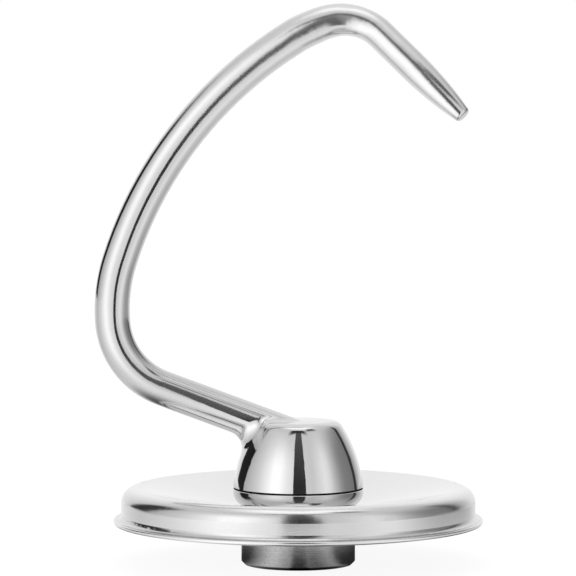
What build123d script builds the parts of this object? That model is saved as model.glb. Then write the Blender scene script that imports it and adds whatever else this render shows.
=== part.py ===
from build123d import *
import math
import os

# A dough hook for a stand mixer, standing on the mouth of its coupling as it would on a worktop.
# The origin is the centre of that mouth, +Z runs up the drive shaft's axis, and the hook's arm
# leaves the hub towards -X. Lengths are millimetres and angles are degrees.

# Drive shaft and cross pin of the mixer, which the coupling fits
SHAFT_DIAMETER = 12.7
SHAFT_CLEARANCE = 0.15
PIN_DIAMETER = 4.76
PIN_CLEARANCE = 0.22

# Coupling sleeve, turned from bar
SLEEVE_DIAMETER = 30.0
BARREL_LENGTH = 14.2
BARREL_EDGE = 0.9
BORE_LENGTH = 31.3
BORE_LEAD_IN = 0.4
SPIGOT_DIAMETER = 20.0
SPIGOT_LEAD_IN = 0.6

# Bayonet slot in the sleeve, with heights to the pin's centre
LOCK_HEIGHT = 6.6
LOCK_DROP = 1.4
LOCK_TURN = 50.0

# Dough shield, pressed from sheet
SHEET = 1.1
SHIELD_HOLE_CLEARANCE = 0.1
SEAT_DIAMETER = 35.0
SEAT_BEND = 14.0
DISH_SLOPE = 11.4
SHOULDER_RADIUS = 3.9
SKIRT_DIAMETER = 93.4
SKIRT_DROP = 4.35
LIP_BEND = 1.4
LIP_FLAT = 0.6
LIP_EDGE = 0.4

# Clamp ring between shield and hub
RING_HEIGHT = 5.05
RING_CORNER = 3.8
RING_LAND = 0.1
RING_BORE_CLEARANCE = 0.1
SEAM_GAP = 0.35
SEAM_DEPTH = 1.6
SEAM_CHAMFER = 0.15

# Hub, cast in one with the arm
HUB_DIAMETER = 34.4
HUB_HEIGHT = 17.55
HUB_DRAFT = 6.3
HUB_SIDE_RADIUS = 38.0
HUB_SHOULDER = 3.2
SOCKET_CLEARANCE = 0.02
SOCKET_END_GAP = 0.3
ARM_BLEND = 4.5

# Arm, from the hub's axis to the tip: straight root, elbow, shin, shank, crest and nose.
# Its depth is the fall from the hub's top to where its centre line crosses the hub's axis, and its
# tail is buried beyond that axis
ARM_DEPTH = 4.65
ROOT_SLOPE = 20.3
ROOT_LENGTH = 38.0
ROOT_TAIL = 6.0
ELBOW_RADIUS = 20.3
ELBOW_TURN = 65.5
SHIN_RADIUS = 43.0
SHIN_TURN = 21.8
SHANK_RADIUS = 107.0
SHANK_TURN = 40.3
CREST_ENTRY_RADIUS = 39.0
CREST_ENTRY_TURN = 14.5
CREST_RADIUS = 14.2
CREST_TURN = 63.9
CREST_ROLL = 21.0
NOSE_LENGTH = 31.6
OGIVE_LENGTH = 20.0

# Thickness of the arm, which is drawn down over the crest and again along the nose's ogive
BAR_DIAMETER = 9.35
NOSE_DIAMETER = 7.9
TIP_DIAMETER = 4.2
TIP_ROUND = 0.9
CREST_SECTIONS = 6

# Levels and radii that the pieces share
BORE_RADIUS = SHAFT_DIAMETER / 2 + SHAFT_CLEARANCE
SLOT_WIDTH = PIN_DIAMETER + 2 * PIN_CLEARANCE
SPIGOT_RADIUS = SPIGOT_DIAMETER / 2
SHIELD_SEAT = BARREL_LENGTH + SHEET
SEAM = SHIELD_SEAT + RING_HEIGHT
HUB_TOP = SEAM + HUB_HEIGHT


def turned(*outline):
    """Solid turned about Z from a closed outline whose points and curves give radius and height."""
    return revolve(Plane.XZ * make_face(outline), Axis.Z)


def coupling_sleeve():
    """Barrel and spigot in one, with the shaft's bore and the slot for its pin."""
    radius = SLEEVE_DIAMETER / 2
    outline = Polyline(
        (BORE_RADIUS + BORE_LEAD_IN, 0),
        (radius - BARREL_EDGE, 0),
        (radius, BARREL_EDGE),
        (radius, BARREL_LENGTH),
        (SPIGOT_RADIUS, BARREL_LENGTH),
        (SPIGOT_RADIUS, BORE_LENGTH - SPIGOT_LEAD_IN),
        (SPIGOT_RADIUS - SPIGOT_LEAD_IN, BORE_LENGTH),
        (BORE_RADIUS, BORE_LENGTH),
        (BORE_RADIUS, BORE_LEAD_IN),
        close=True,
    )
    return turned(outline) - bayonet_slot()


def bayonet_slot():
    """Way of the pin through the back wall: straight in, round by the lock's turn, then back a little."""
    cross_height = LOCK_HEIGHT + LOCK_DROP
    reach = SLEEVE_DIAMETER
    slot = pin_way(0, cross_height)
    slot += Rot(0, 0, LOCK_TURN) * pin_way(LOCK_HEIGHT, cross_height)
    band = Pos(0, cross_height) * Rectangle(reach, SLOT_WIDTH, align=(Align.MIN, Align.CENTER))
    slot += Rot(0, 0, 90) * revolve(Plane.XZ * band, Axis.Z, LOCK_TURN)
    return slot


def pin_way(low, high):
    """Space that the pin sweeps towards +Y as its centre goes from one height to the other."""
    length = high - low
    upright = SlotCenterToCenter(length, SLOT_WIDTH, rotation=90)
    return extrude(Plane.XZ * Pos(0, low + length / 2) * upright, -SLEEVE_DIAMETER)


def dough_shield():
    """Dished disc with a rolled shoulder, a short skirt and a flared lip."""
    skirt = SKIRT_DIAMETER / 2
    seat_edge = SEAT_DIAMETER / 2
    brim = SHIELD_SEAT + (skirt - seat_edge) * math.tan(math.radians(DISH_SLOPE))
    lip_level = SHIELD_SEAT - SKIRT_DROP + SHEET
    skin = FilletPolyline(
        (SPIGOT_RADIUS + SHIELD_HOLE_CLEARANCE, SHIELD_SEAT),
        (seat_edge, SHIELD_SEAT),
        (skirt, brim),
        (skirt, lip_level),
        (skirt + LIP_BEND + LIP_FLAT, lip_level),
        radius=[SEAT_BEND, SHOULDER_RADIUS, LIP_BEND],
    )
    section = make_face(offset(skin, SHEET, side=Side.RIGHT))
    rim = section.vertices().group_by(Axis.X)[-1]
    return revolve(Plane.XZ * fillet(rim, LIP_EDGE), Axis.Z)


def clamp_ring():
    """Ring under the hub, rounded towards the shield and relieved at its rim, which leaves the open seam.

    The rounding is limited by the ring's side, of which at least the land stays straight.
    """
    radius = HUB_DIAMETER / 2
    bore = SPIGOT_RADIUS + RING_BORE_CLEARANCE
    rim = SEAM - SEAM_GAP
    side = rim - SEAM_CHAMFER - SHIELD_SEAT
    corner = min(RING_CORNER, side - RING_LAND)
    outline = FilletPolyline(
        (bore, SHIELD_SEAT),
        (radius, SHIELD_SEAT),
        (radius, rim - SEAM_CHAMFER),
        (radius - SEAM_CHAMFER, rim),
        (radius - SEAM_DEPTH, rim),
        (radius - SEAM_DEPTH, SEAM),
        (bore, SEAM),
        radius=[0, corner, 0, 0, 0, 0, 0],
        close=True,
    )
    return turned(outline)


def hub():
    """Boss with bulged, tapering sides and a rounded top edge."""
    radius = HUB_DIAMETER / 2
    foot = SEAM + SEAM_CHAMFER
    draft = math.radians(HUB_DRAFT)
    centre_x = radius - HUB_SIDE_RADIUS * math.cos(draft)
    centre_z = foot - HUB_SIDE_RADIUS * math.sin(draft)
    top_angle = math.degrees(math.asin((HUB_TOP - centre_z) / HUB_SIDE_RADIUS))
    side = CenterArc((centre_x, centre_z), HUB_SIDE_RADIUS, HUB_DRAFT, top_angle - HUB_DRAFT)
    rest = Polyline(side @ 1, (0, HUB_TOP), (0, SEAM), (radius - SEAM_CHAMFER, SEAM), side @ 0)
    section = make_face([side, rest])
    edge = section.vertices().group_by(Axis.Y)[-1].sort_by(Axis.X)[-1]
    return revolve(Plane.XZ * fillet(edge, HUB_SHOULDER), Axis.Z)


def centre_line():
    """Centre line of the arm from its tail in the hub to the start of the nose: a line, then tangent arcs."""
    hub_axis = Plane((0, 0, HUB_TOP - ARM_DEPTH), x_dir=(-1, 0, 0), z_dir=(0, 1, 0))
    tail = Vector(-ROOT_TAIL, 0).rotate(Axis.Z, ROOT_SLOPE)
    stretches = [hub_axis * PolarLine(tail, ROOT_TAIL + ROOT_LENGTH, ROOT_SLOPE)]
    bend_axis = hub_axis.z_dir
    for radius, turn, roll in (
        (ELBOW_RADIUS, ELBOW_TURN, 0),
        (SHIN_RADIUS, SHIN_TURN, 0),
        (SHANK_RADIUS, SHANK_TURN, 0),
        (CREST_ENTRY_RADIUS, CREST_ENTRY_TURN, 0),
        (CREST_RADIUS, CREST_TURN, CREST_ROLL),
    ):
        start = stretches[-1] @ 1
        heading = stretches[-1] % 1
        bend_axis = bend_axis.rotate(Axis((0, 0, 0), heading), -roll)
        stretches.append(Plane(start, x_dir=heading, z_dir=bend_axis) * JernArc((0, 0), (1, 0), radius, turn))
    return stretches


def crest(path):
    """Tight bend over which the bar is drawn down to the nose's thickness."""
    sections = []
    for step in range(CREST_SECTIONS + 1):
        part = step / CREST_SECTIONS
        ease = part**2 * (3 - 2 * part)
        diameter = BAR_DIAMETER + (NOSE_DIAMETER - BAR_DIAMETER) * ease
        across = Plane(path @ part, x_dir=(0, 1, 0), z_dir=path % part)
        sections.append(across * Circle(diameter / 2))
    return loft(sections)


def nose():
    """Straight end of the arm, turned to an ogive with a blunt, rounded tip, along +Z from the origin."""
    shoulder = (NOSE_DIAMETER / 2, NOSE_LENGTH - OGIVE_LENGTH)
    tip = (TIP_DIAMETER / 2, NOSE_LENGTH)
    ogive = TangentArc(shoulder, tip, tangent=(0, 1))
    rest = Polyline(tip, (0, NOSE_LENGTH), (0, 0), (NOSE_DIAMETER / 2, 0), shoulder)
    section = make_face([ogive, rest])
    edge = section.vertices().sort_by_distance(tip)[0]
    return revolve(Plane.XZ * fillet(edge, TIP_ROUND), Axis.Z)


def arm():
    """Bent bar from its tail in the hub to the tip."""
    stretches = centre_line()
    bar_path = Wire(stretches[:4])
    crest_path = Wire(stretches[4:])
    bar = sweep(Plane(bar_path @ 0, z_dir=bar_path % 0) * Circle(BAR_DIAMETER / 2), path=bar_path)
    nose_start = Plane(crest_path @ 1, z_dir=crest_path % 1)
    return bar + crest(crest_path) + nose_start * nose()


def hook():
    """Hub and arm as one casting, blended where they meet, with the socket for the sleeve's spigot."""
    boss = hub()
    bar = arm()
    casting = boss + bar
    casting = fillet(new_edges(boss, bar, combined=casting), ARM_BLEND)
    depth = BORE_LENGTH + SOCKET_END_GAP - SEAM
    return casting - Pos(0, 0, SEAM) * extrude(Circle(SPIGOT_RADIUS + SOCKET_CLEARANCE), depth)


os.makedirs("parts", exist_ok=True)
for make in (coupling_sleeve, dough_shield, clamp_ring, hook):
    export_step(make(), f"parts/{make.__name__}.step")
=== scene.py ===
import math
from collections import namedtuple

import bpy
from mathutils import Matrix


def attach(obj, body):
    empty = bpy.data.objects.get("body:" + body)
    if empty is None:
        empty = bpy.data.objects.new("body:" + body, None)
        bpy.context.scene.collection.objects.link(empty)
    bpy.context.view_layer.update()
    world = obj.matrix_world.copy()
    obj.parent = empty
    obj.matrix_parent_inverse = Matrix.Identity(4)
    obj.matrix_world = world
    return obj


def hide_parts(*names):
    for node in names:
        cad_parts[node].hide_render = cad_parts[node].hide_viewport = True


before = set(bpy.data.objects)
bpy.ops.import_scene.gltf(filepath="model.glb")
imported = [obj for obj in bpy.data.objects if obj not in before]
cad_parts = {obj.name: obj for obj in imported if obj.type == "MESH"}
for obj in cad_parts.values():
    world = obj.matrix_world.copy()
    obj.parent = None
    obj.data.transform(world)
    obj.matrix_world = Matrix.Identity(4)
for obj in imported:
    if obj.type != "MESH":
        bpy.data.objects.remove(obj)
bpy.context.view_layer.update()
MM = 0.001

# Camera of the photograph: its place, its pitch in radians, its lens and its sensor
CAMERA_PLACE = (-2.7 * MM, -1000 * MM, 138 * MM)
CAMERA_PITCH = 0.065
LENS = 238.2
SENSOR = 36

# Floor: its glow, its diffuse shade, and the share of the walls' light that its far part shows in metal
FLOOR_SIZE = 12.0
FLOOR_GLOW = 0.92
FLOOR_SHADE = 0.12
FLOOR_SHEEN = 0.85
FAR_FLOOR = (30 * MM, 200 * MM)

# Floor below the shield: its reach, the light that the shield and the camera's flag keep from it, and the
# sides of the flag's shade with the width of their edge, in degrees to the right of the camera
SHADED_FLOOR = (55 * MM, 90 * MM)
SHIELD_SHADE = 0.75
FLAG_SHADE = 0.3
FLAG_SHADE_SIDES = (-10, 10)
FLAG_SHADE_EDGE = 8
DARKEST_FLOOR = 0.02

# Light round the horizon, as degrees to the right of the camera and strength
HORIZON = (
    (-180, 1.0),
    (-140, 0.9),
    (-108, 0.6),
    (-80, 0.92),
    (-62, 1.25),
    (-48, 1.55),
    (-36, 1.55),
    (-22, 1.25),
    (0, 0.95),
    (28, 0.86),
    (42, 1.04),
    (51, 1.16),
    (60, 1.04),
    (72, 0.68),
    (84, 0.42),
    (94, 0.31),
    (116, 0.25),
    (128, 0.4),
    (138, 0.7),
    (156, 0.84),
    (180, 1.0),
)
BRIGHTEST = 2.0

# Tent above the horizon, in degrees up: walls give way to the bridge, and that to the overhead light
WALL_TOP = (22, 58)
BRIDGE_LIGHT = 0.82
BRIDGE_TOP = (60, 80)
OVERHEAD_LIGHT = 1.45

# Dark gaps in the walls: edges, sides and tops in degrees, and depths; the left one leans with the height
GAP_EDGE = 3
LEFT_GAP_SIDES = (-141, -114)
LEFT_GAP_LEAN = 0.45
LEFT_GAP_TOP = (32, 46)
LEFT_GAP_DEPTH = 0.97
RIGHT_GAP_SIDES = (118, 127)
RIGHT_GAP_TOP = (34, 46)
RIGHT_GAP_DEPTH = 0.85

# White backdrop behind the object, in degrees to either side of the camera
BACKDROP = (140, 156)

# Dark flags: shade at foot and top, soft share of the edges, and corners in millimetres, as the object sees
# them: low left, low right, high left and high right
Flag = namedtuple("Flag", "name foot top soft corners")
FLAGS = (
    Flag(
        name="camera_flag",
        foot=0.02,
        top=0.12,
        soft=0.01,
        corners=((52, -215, 1), (-24, -155, 1), (34, -200, 323), (-25, -160, 261)),
    ),
    Flag(
        name="boom_flag",
        foot=0.04,
        top=0.04,
        soft=0.25,
        corners=((105, -170, 258), (-115, -170, 258), (105, -170, 340), (-115, -170, 340)),
    ),
    Flag(
        name="nose_flag",
        foot=0.06,
        top=0.06,
        soft=0.3,
        corners=((122, -60, 185), (41, -112, 185), (84, -38, 229), (37, -68, 229)),
    ),
)

# Levels of the hook and the ring, where a finish begins and where it is complete
# Groove between hook and ring: soil and painted shade darken the hook below the first, the ring above the
# second
SEAM_SOIL_AND_SHADE = (20.36 * MM, 20.4 * MM)
RIM_SOIL_AND_SHADE = (19.94 * MM, 19.98 * MM)
ARM_FOOT = (38 * MM, 46 * MM)
ROOT_FOOT = (37.5 * MM, 40 * MM)
ROOT_END = (50 * MM, 60 * MM)
CREST_FOOT = (96 * MM, 134 * MM)

# Radii of the shield and level of the sleeve's mouth, likewise
SEAT_EDGE = (37 * MM, 43 * MM)
SHOULDER = (43.5 * MM, 46.5 * MM)
LIP_RIM = (48.2 * MM, 48.5 * MM)
# Sleeve's mouth: painted shade darkens the steel below these levels, where it stands on the floor
MOUTH = (0.6 * MM, 1.0 * MM)

# Mirror polish of hub and ring: its roughness and tone, then each pattern's size and depth, and what the
# pattern changes in both
HUB_ROUGHNESS = 0.035
HUB_TONE = 0.65
RING_ROUGHNESS = 0.05
RING_TONE = 0.62
BUFFING_WAVE = 5.0 * MM
HOOK_WAVE_DEPTH = 0.03 * MM
RING_WAVE_DEPTH = 0.02 * MM
HAZE_PATCH = 9.0 * MM
HAZE_ROUGHNESS = 0.03
HAZE_TONE = 0.05
LINT = 0.22 * MM
LINT_DEPTH = 0.0006 * MM
LINT_TONE = 0.06

# What the arm and its hand-finished crest change in the polish
ARM_ROUGHNESS = 0.055
ARM_DIMMING = 0.05
CREST_ROUGHNESS = 0.12
CREST_TONE = 0.08
CREST_WAVES = 1.2
HAND_MARK = 1.1 * MM
HAND_MARK_DEPTH = 0.009 * MM

# Film on the arm's root, soil and painted shade in the seam: how far they cover, darken and roughen the
# steel
FILM_COVER = 0.13
SOIL_AND_SHADE_DARKNESS = 0.93
SOIL_ROUGHNESS = 0.6

# Satin of the shield: its roughness and tone, what its zones change in them, and its patterns, of which the
# spun rings have a pitch and an arc in radians over which they fade
SHEET_ROUGHNESS = 0.19
SHEET_TONE = 0.64
SEAT_POLISH = 0.1
PLATE_TONE = 0.13
BURNISH_TONE = 0.08
SPUN_PITCH = 0.12 * MM
SPUN_ARC = 0.5
SPUN_DEPTH = 0.0035 * MM
SPUN_ROUGHNESS = 0.08
GRIT = 0.3 * MM
SHEET_GRIT_DEPTH = 0.004 * MM
SHEET_GRIT_TONE = 0.1
SHEET_CLOUD = 14 * MM
CLOUD_ROUGHNESS = 0.06
CLOUD_TONE = 0.04

# Turned steel of the sleeve, likewise, and the painted shade that darkens a line round its mouth
SLEEVE_ROUGHNESS = 0.12
SLEEVE_TONE = 0.5
TURNED_PITCH = 0.2 * MM
TURNED_ARC = 0.8
TURNED_DEPTH = 0.008 * MM
TURNED_ROUGHNESS = 0.1
TURNED_TONE = 0.1
SLEEVE_GRIT_DEPTH = 0.006 * MM
SLEEVE_GRIT_ROUGHNESS = 0.08
SLEEVE_GRIT_TONE = 0.34
MOUTH_SHADE_DARKNESS = 0.97

# Copy of the hook: the angle up to which edges are smooth, and the distance within which points merge
SMOOTH_ANGLE = math.radians(30)
MERGE_DISTANCE = 0.002 * MM


class Value:
    """A shader's socket, with which Python's operators calculate."""

    def __init__(self, shader, socket):
        self.shader = shader
        self.socket = socket

    def math(self, operation, *terms):
        sockets = dict(enumerate(terms))
        return self.shader.node("ShaderNodeMath", {"operation": operation}, sockets)

    def __add__(self, other):
        return self.math("ADD", self, other)

    def __radd__(self, other):
        return self.math("ADD", other, self)

    def __sub__(self, other):
        return self.math("SUBTRACT", self, other)

    def __rsub__(self, other):
        return self.math("SUBTRACT", other, self)

    def __mul__(self, other):
        return self.math("MULTIPLY", self, other)

    def __rmul__(self, other):
        return self.math("MULTIPLY", other, self)

    def __truediv__(self, other):
        return self.math("DIVIDE", self, other)

    def __rtruediv__(self, other):
        return self.math("DIVIDE", other, self)

    def __neg__(self):
        return self.math("MULTIPLY", self, -1.0)

    def __abs__(self):
        return self.math("ABSOLUTE", self)

    def out(self, name):
        """Another output of the same node."""
        return Value(self.shader, self.socket.node.outputs[name])

    def larger(self, other):
        return self.math("MAXIMUM", self, other)

    def rise(self, start, end):
        """0 before start, 1 after end, and smooth between them."""
        settings = {"interpolation_type": "SMOOTHSTEP"}
        sockets = {"Value": self, "From Min": start, "From Max": end}
        return self.shader.node("ShaderNodeMapRange", settings, sockets)

    def between(self, low, high, edge):
        """1 from low to high, falling to 0 over the width of the edge, which straddles each of them."""
        half = edge / 2
        return self.rise(low - half, low + half) * (1 - self.rise(high - half, high + half))

    def toward(self, other, share):
        """This value where the share is 0, the other where it is 1."""
        return self * (1 - share) + share * other

    def swing(self, width):
        """A pattern from 0 to 1 as a change of this width, half of it to either side of 0."""
        return (self - 0.5) * width


class Shader:
    """Node tree of a material or of the world."""

    def __init__(self, owner):
        owner.use_nodes = True
        self.tree = owner.node_tree
        self.tree.nodes.clear()

    def node(self, kind, settings=None, sockets=None, output=0):
        """Add a node, set it up, give its sockets their values or links, and return its output."""
        made = self.tree.nodes.new(kind)
        for name, setting in (settings or {}).items():
            if name == "stops":
                ramp = made.color_ramp.elements
                while len(ramp) < len(setting):
                    ramp.new(0.5)
                for stop, (place, level) in zip(ramp, setting):
                    stop.position = place
                    stop.color = grey(level)
            else:
                setattr(made, name, setting)
        for key, given in (sockets or {}).items():
            if isinstance(given, Value):
                self.tree.links.new(given.socket, made.inputs[key])
            else:
                made.inputs[key].default_value = given
        return Value(self, made.outputs[output]) if made.outputs else None


def grey(level):
    return (level, level, level, 1)


def new_material(name):
    material = bpy.data.materials.new(name)
    return material, Shader(material)


def new_plane(name, size):
    bpy.ops.object.select_all(action="DESELECT")
    bpy.ops.mesh.primitive_plane_add(size=size)
    plane = bpy.context.object
    plane.name = name
    return plane


def photo_camera():
    data = bpy.data.cameras.new("photo_camera")
    data.lens = LENS
    data.sensor_width = SENSOR
    camera = bpy.data.objects.new("photo_camera", data)
    camera.location = CAMERA_PLACE
    camera.rotation_euler = (math.pi / 2 - CAMERA_PITCH, 0, 0)
    bpy.context.scene.collection.objects.link(camera)
    bpy.context.scene.camera = camera


def right_of_camera(x, y):
    """Degrees to the right of the camera, as seen from the hub's axis."""
    return x.math("ARCTAN2", x, -y) * math.degrees(1)


def round_horizon(s, azimuth):
    """Light of the tent's walls by the degrees to the right of the camera."""
    stops = [((degrees + 180) / 360, strength / BRIGHTEST) for degrees, strength in HORIZON]
    return s.node("ShaderNodeValToRGB", {"stops": stops}, {"Fac": (azimuth + 180) / 360}) * BRIGHTEST


def studio_world():
    """Light tent: bright panel on the left, weaker one on the right, dark gaps beside them, white behind."""
    world = bpy.data.worlds.new("studio")
    bpy.context.scene.world = world
    s = Shader(world)
    direction = s.node("ShaderNodeTexCoord", output="Generated")
    x = s.node("ShaderNodeSeparateXYZ", sockets={0: direction})
    z = x.out("Z")
    azimuth = right_of_camera(x, x.out("Y"))
    elevation = z.math("ARCSINE", z) * math.degrees(1)
    light = round_horizon(s, azimuth).toward(BRIDGE_LIGHT, elevation.rise(*WALL_TOP))
    leaning = azimuth - elevation * LEFT_GAP_LEAN
    left_gap = leaning.between(*LEFT_GAP_SIDES, GAP_EDGE) * (1 - elevation.rise(*LEFT_GAP_TOP))
    right_gap = azimuth.between(*RIGHT_GAP_SIDES, GAP_EDGE) * (1 - elevation.rise(*RIGHT_GAP_TOP))
    light = light * (1 - LEFT_GAP_DEPTH * left_gap) * (1 - RIGHT_GAP_DEPTH * right_gap)
    light = light.toward(OVERHEAD_LIGHT, elevation.rise(*BRIDGE_TOP))
    camera_ray = s.node("ShaderNodeLightPath")
    glossy_ray = camera_ray.out("Is Glossy Ray")
    behind = abs(azimuth).rise(*BACKDROP)
    seen = camera_ray.larger(glossy_ray * behind).larger(camera_ray.out("Is Transmission Ray"))
    glow = s.node("ShaderNodeBackground", sockets={"Color": light.toward(1.0, seen), "Strength": 1.0})
    s.node("ShaderNodeOutputWorld", sockets={"Surface": glow})


def studio_floor():
    """White floor that keeps a faint shadow.

    In metal, its far part takes on the light of the tent's walls, and it is dim below the shield.
    """
    floor = new_plane("floor", FLOOR_SIZE)
    material, s = new_material("white_floor")
    at = place(s)
    azimuth = right_of_camera(at.x, at.y)
    walls = round_horizon(s, azimuth)
    camera_ray = s.node("ShaderNodeLightPath")
    glossy_ray = camera_ray.out("Is Glossy Ray")
    seen = camera_ray.larger(glossy_ray).larger(camera_ray.out("Is Transmission Ray"))
    far = glossy_ray * at.radius.rise(*FAR_FLOOR) * FLOOR_SHEEN
    below_shield = glossy_ray * (1 - at.radius.rise(*SHADED_FLOOR))
    flag_shade = FLAG_SHADE * azimuth.between(*FLAG_SHADE_SIDES, FLAG_SHADE_EDGE)
    dim = (walls - SHIELD_SHADE - flag_shade).larger(DARKEST_FLOOR)
    light = (seen * FLOOR_GLOW).toward(walls, far).toward(dim, below_shield)
    glow = s.node("ShaderNodeEmission", sockets={"Color": light, "Strength": 1.0})
    shade = s.node("ShaderNodeBsdfDiffuse", sockets={"Color": grey(FLOOR_SHADE)})
    both = s.node("ShaderNodeAddShader", sockets={0: glow, 1: shade})
    s.node("ShaderNodeOutputMaterial", sockets={"Surface": both})
    floor.data.materials.append(material)


def dark_flag(flag):
    """Flag well clear of the object that draws a dark line in its polish and shows only from its front."""
    card = new_plane(flag.name, 1)
    for vertex, corner in zip(card.data.vertices, flag.corners):
        vertex.co = [length * MM for length in corner]
    material, s = new_material(flag.name)
    across = s.node("ShaderNodeSeparateXYZ", sockets={0: s.node("ShaderNodeTexCoord", output="UV")})
    up = across.out("Y")
    front = 1 - s.node("ShaderNodeNewGeometry", output="Backfacing")
    sides = (flag.soft / 2, 1 - flag.soft / 2, flag.soft)
    body = across.between(*sides) * up.between(*sides)
    colour = grey(flag.foot) if flag.foot == flag.top else flag.foot + up * (flag.top - flag.foot)
    glow = s.node("ShaderNodeEmission", sockets={"Color": colour, "Strength": 1.0})
    clear = s.node("ShaderNodeBsdfTransparent")
    face = s.node("ShaderNodeMixShader", sockets={0: body * front, 1: clear, 2: glow})
    s.node("ShaderNodeOutputMaterial", sockets={"Surface": face})
    card.data.materials.append(material)
    card.visible_camera = False
    card.visible_diffuse = False
    card.visible_transmission = False
    card.visible_shadow = False


Place = namedtuple("Place", "spot x y z radius")


def place(s):
    """Where a point of the piece lies: the place itself, x, y, z and the distance from the hub's axis."""
    spot = s.node("ShaderNodeTexCoord", output="Object")
    x = s.node("ShaderNodeSeparateXYZ", sockets={0: spot})
    y = x.out("Y")
    return Place(spot, x, y, x.out("Z"), x.math("SQRT", x * x + y * y))


def grain(s, spot, size, detail=2.0):
    """Cloudy pattern from 0 to 1 whose patches have this size."""
    return s.node("ShaderNodeTexNoise", sockets={"Vector": spot, "Scale": 1 / size, "Detail": detail})


def lathe_lines(s, at, along, pitch, arc):
    """Fine lines round the axis, with their pitch along the outline and the arc over which they fade."""
    turn = at.x.math("ARCTAN2", at.y, at.x) / arc
    spot = s.node("ShaderNodeCombineXYZ", sockets={0: along / pitch, 1: turn})
    return s.node("ShaderNodeTexNoise", sockets={"Vector": spot, "Scale": 1.0, "Detail": 3.0})


def relief(s, height, depth, under=None):
    """Normal of a surface whose height, from 0 to 1, stands for this depth."""
    sockets = {"Height": height, "Distance": depth}
    if under:
        sockets["Normal"] = under
    return s.node("ShaderNodeBump", sockets=sockets)


def steel(s, tone, roughness, normal, bare=1.0):
    """Steel with a tone, a roughness and a relief that vary over it, bare or under a thin film."""
    colour = s.node("ShaderNodeCombineColor", sockets={0: tone, 1: tone, 2: tone})
    sockets = {"Base Color": colour, "Metallic": bare, "Roughness": roughness, "Normal": normal}
    body = s.node("ShaderNodeBsdfPrincipled", sockets=sockets)
    s.node("ShaderNodeOutputMaterial", sockets={"Surface": body})


def polished_casting():
    """Mirror polish of hub and arm, with buffed waves and haze.

    It is rougher over the hand-finished crest, has a thin film at the arm's root, and soil with painted
    shade in the seam.
    """
    material, s = new_material("polished_casting")
    at = place(s)
    hand_finish = at.z.rise(*CREST_FOOT)
    arm = at.z.rise(*ARM_FOOT)
    film = at.z.rise(*ROOT_FOOT) * (1 - at.z.rise(*ROOT_END))
    # Soil with painted shade: darkens the hook's foot in the seam with the ring
    soil_and_shade = 1 - at.z.rise(*SEAM_SOIL_AND_SHADE)
    waves = grain(s, at.spot, BUFFING_WAVE, detail=1.0)
    marks = grain(s, at.spot, HAND_MARK, detail=3.0)
    haze = grain(s, at.spot, HAZE_PATCH)
    lint = grain(s, at.spot, LINT, detail=1.0)
    normal = relief(s, waves * (1 + hand_finish * CREST_WAVES), HOOK_WAVE_DEPTH)
    normal = relief(s, marks * hand_finish, HAND_MARK_DEPTH, normal)
    normal = relief(s, lint, LINT_DEPTH, normal)
    roughness = HUB_ROUGHNESS + arm * ARM_ROUGHNESS + hand_finish * CREST_ROUGHNESS + haze * HAZE_ROUGHNESS
    tone = HUB_TONE - arm * ARM_DIMMING + hand_finish * CREST_TONE
    tone = tone + haze.swing(HAZE_TONE) + lint.swing(LINT_TONE)
    tone = tone * (1 - SOIL_AND_SHADE_DARKNESS * soil_and_shade)
    steel(s, tone, roughness.larger(soil_and_shade * SOIL_ROUGHNESS), normal, 1 - film * FILM_COVER)
    return material


def polished_ring():
    """Mirror polish of the ring, with soil and painted shade darkening its relieved rim at the seam."""
    material, s = new_material("polished_ring")
    at = place(s)
    # Soil with painted shade: darkens the ring's rim in the seam with the hub
    soil_and_shade = at.z.rise(*RIM_SOIL_AND_SHADE)
    waves = grain(s, at.spot, BUFFING_WAVE, detail=1.0)
    haze = grain(s, at.spot, HAZE_PATCH)
    lint = grain(s, at.spot, LINT, detail=1.0)
    normal = relief(s, waves, RING_WAVE_DEPTH)
    normal = relief(s, lint, LINT_DEPTH, normal)
    roughness = RING_ROUGHNESS + haze * HAZE_ROUGHNESS
    tone = RING_TONE + haze.swing(HAZE_TONE) + lint.swing(LINT_TONE)
    tone = tone * (1 - SOIL_AND_SHADE_DARKNESS * soil_and_shade)
    steel(s, tone, roughness.larger(soil_and_shade * SOIL_ROUGHNESS), normal)
    return material


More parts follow.
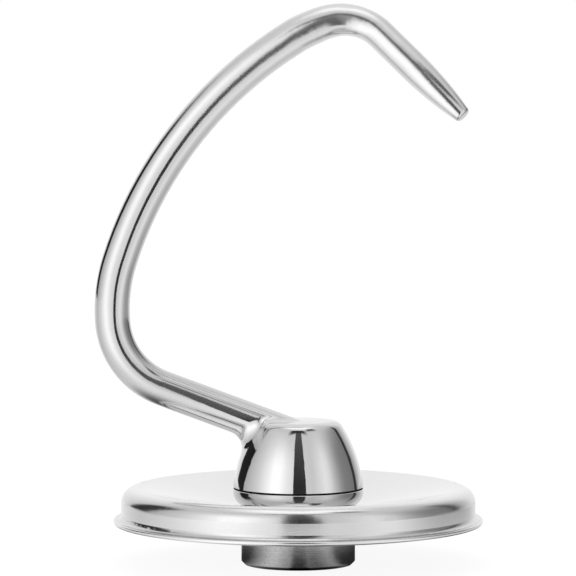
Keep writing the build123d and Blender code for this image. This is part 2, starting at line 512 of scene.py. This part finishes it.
def satin_sheet():
    """Spun sheet in satin: fine rings, grain, a brighter plate, a smoother seat and a burnished rim."""
    material, s = new_material("satin_sheet")
    at = place(s)
    seat = 1 - at.radius.rise(*SEAT_EDGE)
    plate = 1 - at.radius.rise(*SHOULDER)
    burnish = at.radius.rise(*LIP_RIM)
    rings = lathe_lines(s, at, at.radius + at.z, SPUN_PITCH, SPUN_ARC)
    grit = grain(s, at.spot, GRIT)
    cloud = grain(s, at.spot, SHEET_CLOUD)
    normal = relief(s, rings, SPUN_DEPTH)
    normal = relief(s, grit, SHEET_GRIT_DEPTH, normal)
    roughness = SHEET_ROUGHNESS + cloud.swing(CLOUD_ROUGHNESS) + rings.swing(SPUN_ROUGHNESS)
    tone = SHEET_TONE + plate * PLATE_TONE + cloud.swing(CLOUD_TONE) + grit.swing(SHEET_GRIT_TONE)
    steel(s, tone + burnish * BURNISH_TONE, roughness - seat * SEAT_POLISH, normal)
    return material


def turned_steel():
    """Darker steel as it left the lathe: tool lines, grain, and a dark line of painted shade round the
    mouth.
    """
    material, s = new_material("turned_steel")
    at = place(s)
    # Painted shade: a dark line round the sleeve's mouth, where it meets the floor
    mouth = 1 - at.z.rise(*MOUTH)
    lines = lathe_lines(s, at, at.z, TURNED_PITCH, TURNED_ARC)
    grit = grain(s, at.spot, GRIT, detail=3.0)
    normal = relief(s, lines, TURNED_DEPTH)
    normal = relief(s, grit, SLEEVE_GRIT_DEPTH, normal)
    roughness = SLEEVE_ROUGHNESS + lines.swing(TURNED_ROUGHNESS) + grit * SLEEVE_GRIT_ROUGHNESS
    tone = SLEEVE_TONE + grit.swing(SLEEVE_GRIT_TONE) + lines.swing(TURNED_TONE)
    steel(s, tone * (1 - MOUTH_SHADE_DARKNESS * mouth), roughness, normal)
    return material


def smooth_copy(node, name, material):
    """A node's own form as one closed mesh, smooth across the borders of its faces."""
    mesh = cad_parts[node].data.copy()
    piece = bpy.data.objects.new(name, mesh)
    bpy.context.scene.collection.objects.link(piece)
    bpy.ops.object.select_all(action="DESELECT")
    piece.select_set(True)
    bpy.context.view_layer.objects.active = piece
    bpy.ops.mesh.customdata_custom_splitnormals_clear()
    bpy.ops.object.mode_set(mode="EDIT")
    bpy.ops.mesh.select_all(action="SELECT")
    bpy.ops.mesh.remove_doubles(threshold=MERGE_DISTANCE)
    bpy.ops.object.mode_set(mode="OBJECT")
    bpy.ops.object.shade_smooth_by_angle(angle=SMOOTH_ANGLE)
    mesh.materials.clear()
    mesh.materials.append(material)
    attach(piece, "root")
    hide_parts(node)


def finish_node(node, material):
    """Give a node that keeps its own shape its finish."""
    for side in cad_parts[node].material_slots:
        side.material = material


bpy.context.scene.view_settings.view_transform = "Standard"
photo_camera()
studio_world()
studio_floor()
for flag in FLAGS:
    dark_flag(flag)
smooth_copy("hook", "polished_hook", polished_casting())
finish_node("clamp_ring", polished_ring())
finish_node("dough_shield", satin_sheet())
finish_node("coupling_sleeve", turned_steel())
